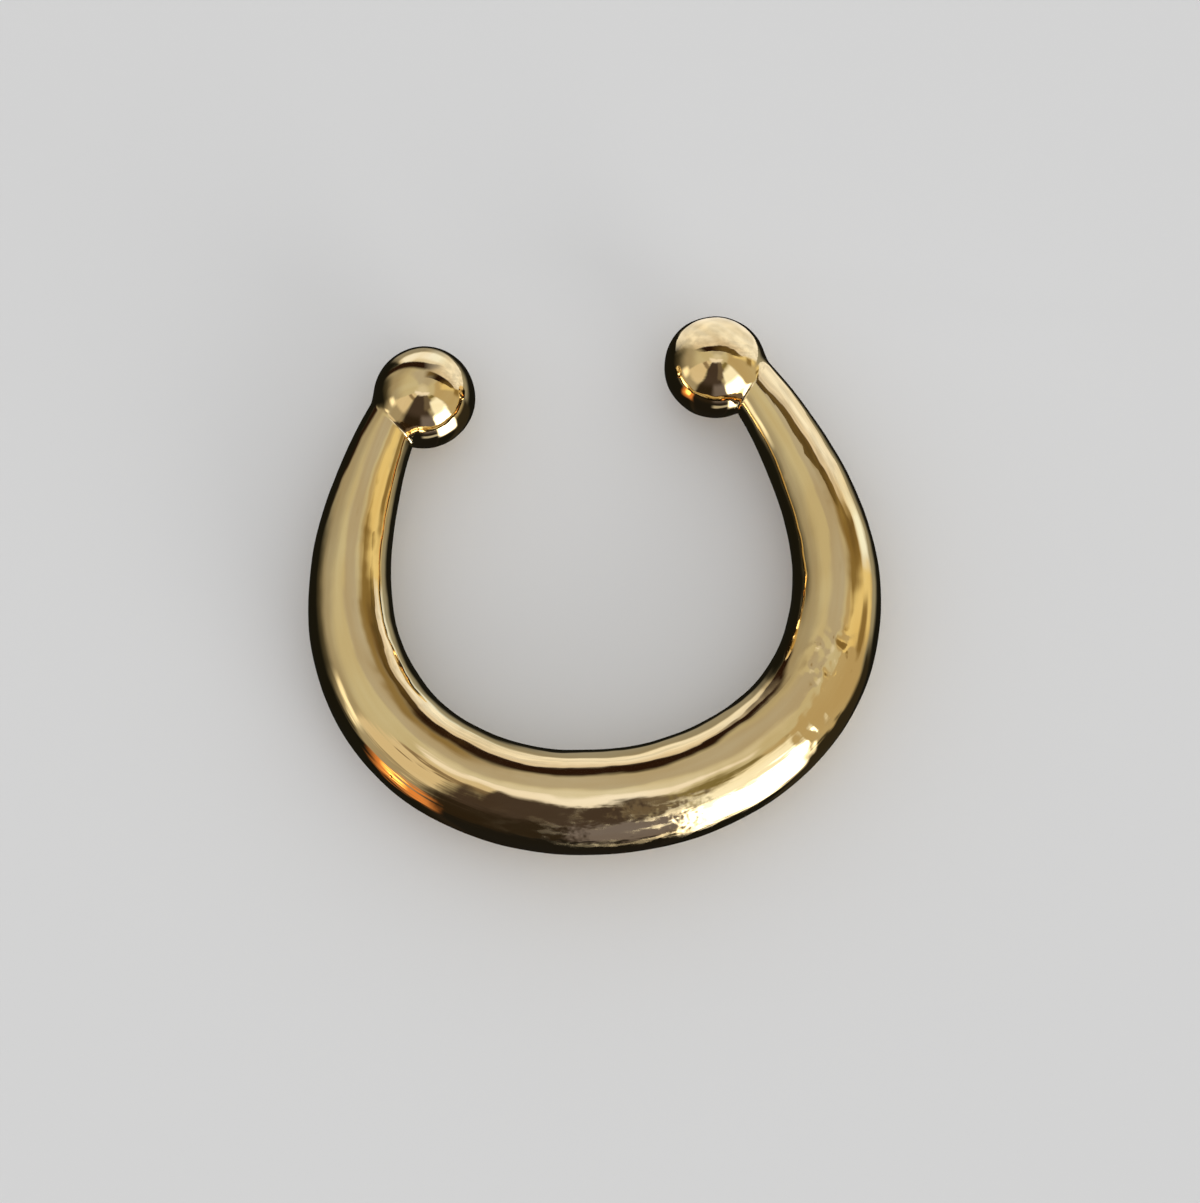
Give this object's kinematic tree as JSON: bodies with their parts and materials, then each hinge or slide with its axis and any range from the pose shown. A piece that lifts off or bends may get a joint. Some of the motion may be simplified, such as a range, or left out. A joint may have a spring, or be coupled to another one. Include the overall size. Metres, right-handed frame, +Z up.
{
  "type": "clip-on septum ring",
  "caption": "Horseshoe nose ring in polished pale gold: a round bar, thick in the middle and tapered to its ends, which carry balls and spring onto the septum.",
  "frame": {"origin": "middle of the ring's outline, on the surface it lies on", "axes": "+Z up from the surface, +Y out of the mouth between the balls, +X to the right seen from the closed side"},
  "size_m": [0.014, 0.0132, 0.0026],
  "materials": {
    "polished_gold": "mirror polished pale gold plate"
  },
  "bodies": {
    "root": {"septum_ring": "polished_gold"}
  },
  "joints": []
}
